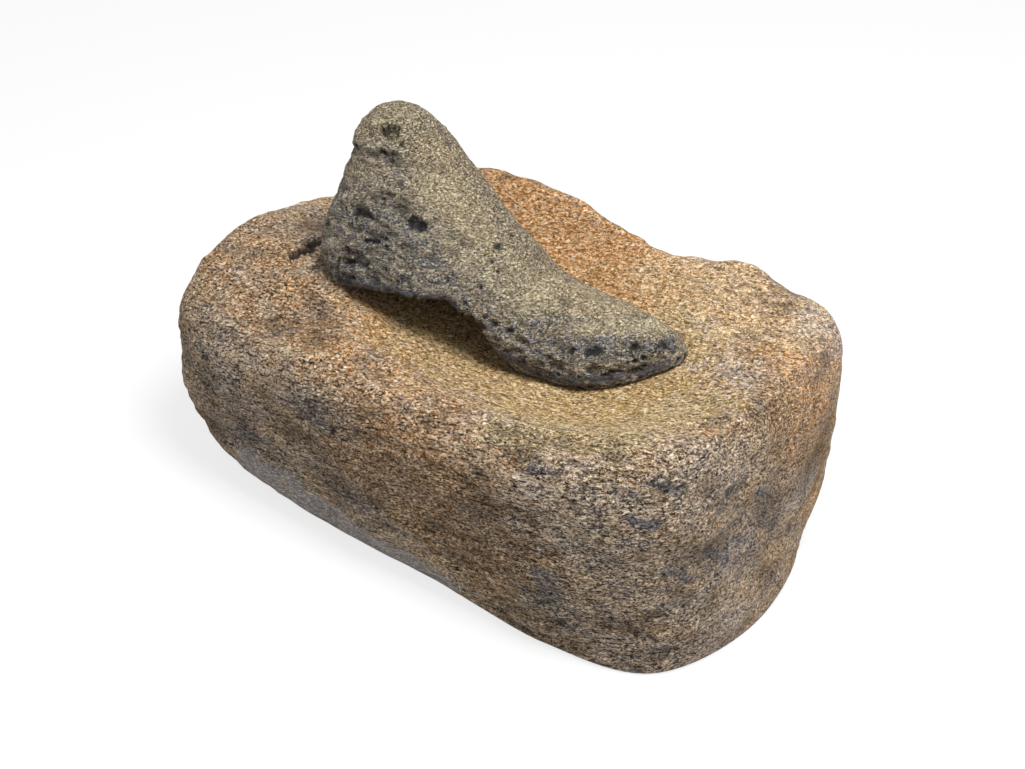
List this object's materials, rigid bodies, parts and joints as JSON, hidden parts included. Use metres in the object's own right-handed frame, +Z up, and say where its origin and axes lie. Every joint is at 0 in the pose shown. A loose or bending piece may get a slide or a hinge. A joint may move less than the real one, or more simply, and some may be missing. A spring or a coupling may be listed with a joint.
{
  "type": "metate grinding stone",
  "caption": "Basin metate: a heavy boulder with an oval grinding basin worn into its top, and a boot-shaped hand stone that slides to and fro in it.",
  "frame": {"origin": "on the flat underside that the boulder lies on, under the middle of its length and width", "axes": "+X along the boulder towards its squarer end, the way the mano's toe points; +Y across it to the higher long rim; +Z up"},
  "size_m": [0.4406, 0.2615, 0.251],
  "materials": {
    "base_stone": "rough brown andesite with cream and dark grains, worn smooth and yellow in the basin",
    "mano_stone": "rough grey vesicular basalt with open pits, dusted buff on top"
  },
  "bodies": {
    "base": {"metate_base": "base_stone"},
    "hand_stone": {"mano": "mano_stone"}
  },
  "joints": [
    {"name": "grinding_stroke", "type": "hinge", "parent": "base", "child": "hand_stone", "pos_m": [0.02798, -0.03644, 0.56091], "axis": [0, -0.9982, -0.0593], "range_deg": [-3, 6]}
  ]
}
